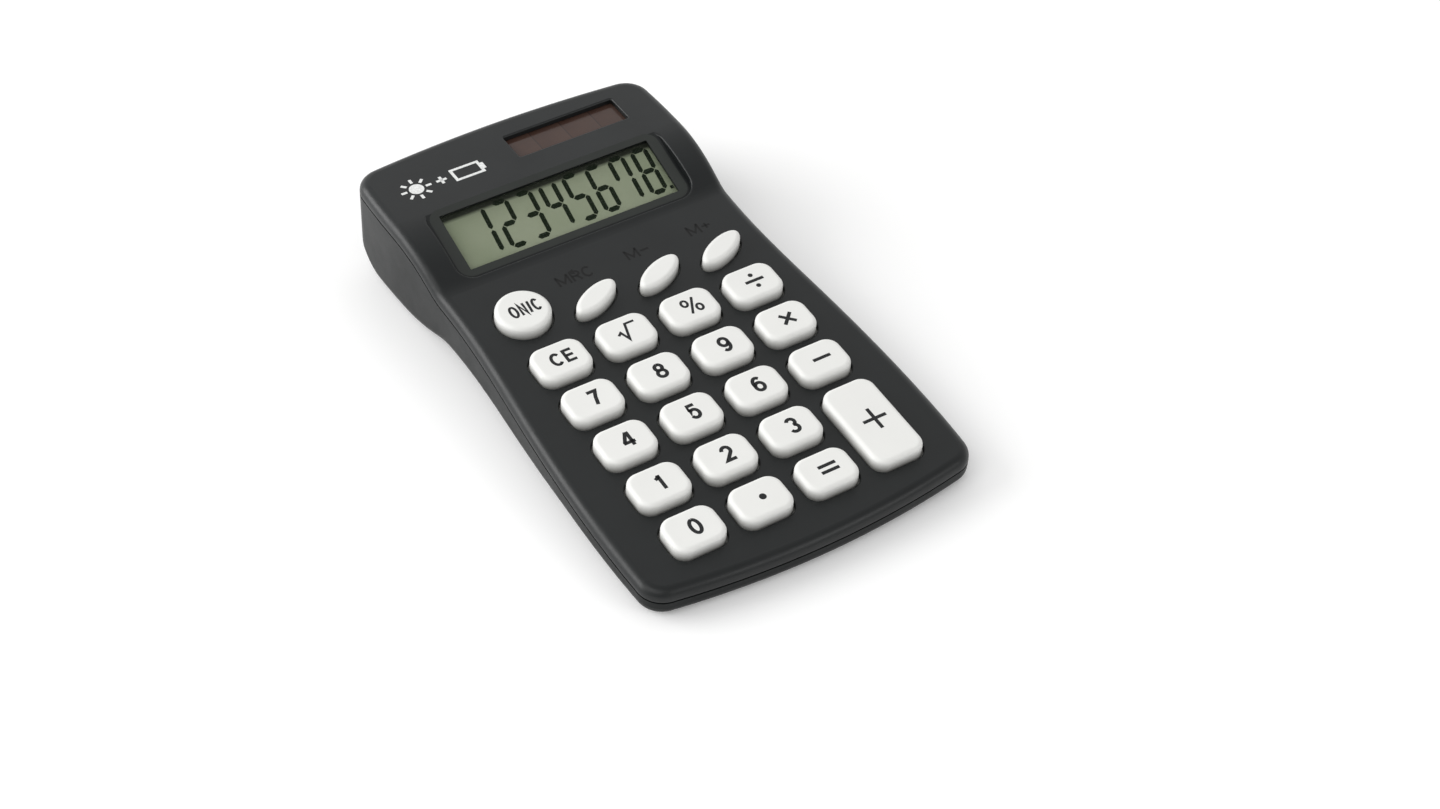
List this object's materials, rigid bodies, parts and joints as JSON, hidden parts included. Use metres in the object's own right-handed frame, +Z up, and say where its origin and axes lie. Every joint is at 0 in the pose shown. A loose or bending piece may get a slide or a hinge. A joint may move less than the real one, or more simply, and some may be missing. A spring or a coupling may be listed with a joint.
{
  "type": "desk calculator",
  "caption": "Small desk calculator with a raised sloping display, solar cell window, waisted dark case, white sprung keys and a rounded belly that tilts the keyboard.",
  "frame": {"origin": "centre of the footprint, on the table under the rubber feet", "axes": "+X to the calculator's right, +Y from the user towards the display, +Z up"},
  "size_m": [0.0694, 0.1206, 0.0207],
  "materials": {
    "case_plastic": "fine matt texture, charcoal",
    "base_plastic": "fine matt texture, charcoal",
    "key_plastic": "satin white",
    "silicone": "matt moulded silicone, grey",
    "board_laminate": "green solder mask",
    "epoxy": "black epoxy",
    "ceramic_parts": "ceramic, tan",
    "screw_steel": "zinc plated",
    "wire_sleeve": "vinyl insulation, red",
    "clear_window": "clear moulded acrylic",
    "polariser": "grey green polarising film",
    "lcd_glass": "thin display glass",
    "reflector": "satin reflecting film",
    "holder_plastic": "natural white moulding",
    "ribbon_film": "amber film with printed tracks",
    "solar_glass": "dark brown amorphous silicon behind glass",
    "foam": "black closed cell foam",
    "cell_steel": "nickel plated",
    "contact_steel": "nickel plated spring strip",
    "foot_rubber": "matt black rubber"
  },
  "bodies": {
    "case": {"top_case": "case_plastic", "bottom_case": "base_plastic", "rubber_keypad": "silicone", "circuit_board": "board_laminate", "chip_blob": "epoxy", "board_components": "ceramic_parts", "board_screws": "screw_steel", "case_screws": "screw_steel", "battery_cover": "base_plastic", "battery_cover_screw": "screw_steel", "solar_wires": "wire_sleeve", "battery_wires": "wire_sleeve", "display_window": "clear_window", "lcd_front_polariser": "polariser", "lcd_front_glass": "lcd_glass", "lcd_rear_glass": "lcd_glass", "lcd_reflector": "reflector", "lcd_holder": "holder_plastic", "lcd_ribbon": "ribbon_film", "solar_cell": "solar_glass", "solar_pad": "foam", "button_cell": "cell_steel", "battery_contact_positive": "contact_steel", "battery_contact_negative": "contact_steel", "rubber_feet": "foot_rubber"},
    "key_ce": {"key_ce": "key_plastic"},
    "key_root": {"key_root": "key_plastic"},
    "key_percent": {"key_percent": "key_plastic"},
    "key_divide": {"key_divide": "key_plastic"},
    "key_7": {"key_7": "key_plastic"},
    "key_8": {"key_8": "key_plastic"},
    "key_9": {"key_9": "key_plastic"},
    "key_multiply": {"key_multiply": "key_plastic"},
    "key_4": {"key_4": "key_plastic"},
    "key_5": {"key_5": "key_plastic"},
    "key_6": {"key_6": "key_plastic"},
    "key_minus": {"key_minus": "key_plastic"},
    "key_1": {"key_1": "key_plastic"},
    "key_2": {"key_2": "key_plastic"},
    "key_3": {"key_3": "key_plastic"},
    "key_0": {"key_0": "key_plastic"},
    "key_point": {"key_point": "key_plastic"},
    "key_equals": {"key_equals": "key_plastic"},
    "key_plus": {"key_plus": "key_plastic"},
    "key_on_clear": {"key_on_clear": "key_plastic"},
    "key_memory_recall": {"key_memory_recall": "key_plastic"},
    "key_memory_minus": {"key_memory_minus": "key_plastic"},
    "key_memory_plus": {"key_memory_plus": "key_plastic"}
  },
  "joints": [
    {"name": "key_ce_press", "type": "slide", "parent": "case", "child": "key_ce", "axis": [0, 0.1045, -0.9945], "range_m": [0, 0.0008], "stiffness_N_per_m": 500, "deforming": ["rubber_keypad"]},
    {"name": "key_root_press", "type": "slide", "parent": "case", "child": "key_root", "axis": [0, 0.1045, -0.9945], "range_m": [0, 0.0008], "stiffness_N_per_m": 500, "deforming": ["rubber_keypad"]},
    {"name": "key_percent_press", "type": "slide", "parent": "case", "child": "key_percent", "axis": [0, 0.1045, -0.9945], "range_m": [0, 0.0008], "stiffness_N_per_m": 500, "deforming": ["rubber_keypad"]},
    {"name": "key_divide_press", "type": "slide", "parent": "case", "child": "key_divide", "axis": [0, 0.1045, -0.9945], "range_m": [0, 0.0008], "stiffness_N_per_m": 500, "deforming": ["rubber_keypad"]},
    {"name": "key_7_press", "type": "slide", "parent": "case", "child": "key_7", "axis": [0, 0.1045, -0.9945], "range_m": [0, 0.0008], "stiffness_N_per_m": 500, "deforming": ["rubber_keypad"]},
    {"name": "key_8_press", "type": "slide", "parent": "case", "child": "key_8", "axis": [0, 0.1045, -0.9945], "range_m": [0, 0.0008], "stiffness_N_per_m": 500, "deforming": ["rubber_keypad"]},
    {"name": "key_9_press", "type": "slide", "parent": "case", "child": "key_9", "axis": [0, 0.1045, -0.9945], "range_m": [0, 0.0008], "stiffness_N_per_m": 500, "deforming": ["rubber_keypad"]},
    {"name": "key_multiply_press", "type": "slide", "parent": "case", "child": "key_multiply", "axis": [0, 0.1045, -0.9945], "range_m": [0, 0.0008], "stiffness_N_per_m": 500, "deforming": ["rubber_keypad"]},
    {"name": "key_4_press", "type": "slide", "parent": "case", "child": "key_4", "axis": [0, 0.1045, -0.9945], "range_m": [0, 0.0008], "stiffness_N_per_m": 500, "deforming": ["rubber_keypad"]},
    {"name": "key_5_press", "type": "slide", "parent": "case", "child": "key_5", "axis": [0, 0.1045, -0.9945], "range_m": [0, 0.0008], "stiffness_N_per_m": 500, "deforming": ["rubber_keypad"]},
    {"name": "key_6_press", "type": "slide", "parent": "case", "child": "key_6", "axis": [0, 0.1045, -0.9945], "range_m": [0, 0.0008], "stiffness_N_per_m": 500, "deforming": ["rubber_keypad"]},
    {"name": "key_minus_press", "type": "slide", "parent": "case", "child": "key_minus", "axis": [0, 0.1045, -0.9945], "range_m": [0, 0.0008], "stiffness_N_per_m": 500, "deforming": ["rubber_keypad"]},
    {"name": "key_1_press", "type": "slide", "parent": "case", "child": "key_1", "axis": [0, 0.1045, -0.9945], "range_m": [0, 0.0008], "stiffness_N_per_m": 500, "deforming": ["rubber_keypad"]},
    {"name": "key_2_press", "type": "slide", "parent": "case", "child": "key_2", "axis": [0, 0.1045, -0.9945], "range_m": [0, 0.0008], "stiffness_N_per_m": 500, "deforming": ["rubber_keypad"]},
    {"name": "key_3_press", "type": "slide", "parent": "case", "child": "key_3", "axis": [0, 0.1045, -0.9945], "range_m": [0, 0.0008], "stiffness_N_per_m": 500, "deforming": ["rubber_keypad"]},
    {"name": "key_0_press", "type": "slide", "parent": "case", "child": "key_0", "axis": [0, 0.1045, -0.9945], "range_m": [0, 0.0008], "stiffness_N_per_m": 500, "deforming": ["rubber_keypad"]},
    {"name": "key_point_press", "type": "slide", "parent": "case", "child": "key_point", "axis": [0, 0.1045, -0.9945], "range_m": [0, 0.0008], "stiffness_N_per_m": 500, "deforming": ["rubber_keypad"]},
    {"name": "key_equals_press", "type": "slide", "parent": "case", "child": "key_equals", "axis": [0, 0.1045, -0.9945], "range_m": [0, 0.0008], "stiffness_N_per_m": 500, "deforming": ["rubber_keypad"]},
    {"name": "key_plus_press", "type": "slide", "parent": "case", "child": "key_plus", "axis": [0, 0.1045, -0.9945], "range_m": [0, 0.0008], "stiffness_N_per_m": 500, "deforming": ["rubber_keypad"]},
    {"name": "key_on_clear_press", "type": "slide", "parent": "case", "child": "key_on_clear", "axis": [0, 0.1045, -0.9945], "range_m": [0, 0.0008], "stiffness_N_per_m": 500, "deforming": ["rubber_keypad"]},
    {"name": "key_memory_recall_press", "type": "slide", "parent": "case", "child": "key_memory_recall", "axis": [0, 0.1045, -0.9945], "range_m": [0, 0.0008], "stiffness_N_per_m": 500, "deforming": ["rubber_keypad"]},
    {"name": "key_memory_minus_press", "type": "slide", "parent": "case", "child": "key_memory_minus", "axis": [0, 0.1045, -0.9945], "range_m": [0, 0.0008], "stiffness_N_per_m": 500, "deforming": ["rubber_keypad"]},
    {"name": "key_memory_plus_press", "type": "slide", "parent": "case", "child": "key_memory_plus", "axis": [0, 0.1045, -0.9945], "range_m": [0, 0.0008], "stiffness_N_per_m": 500, "deforming": ["rubber_keypad"]}
  ]
}
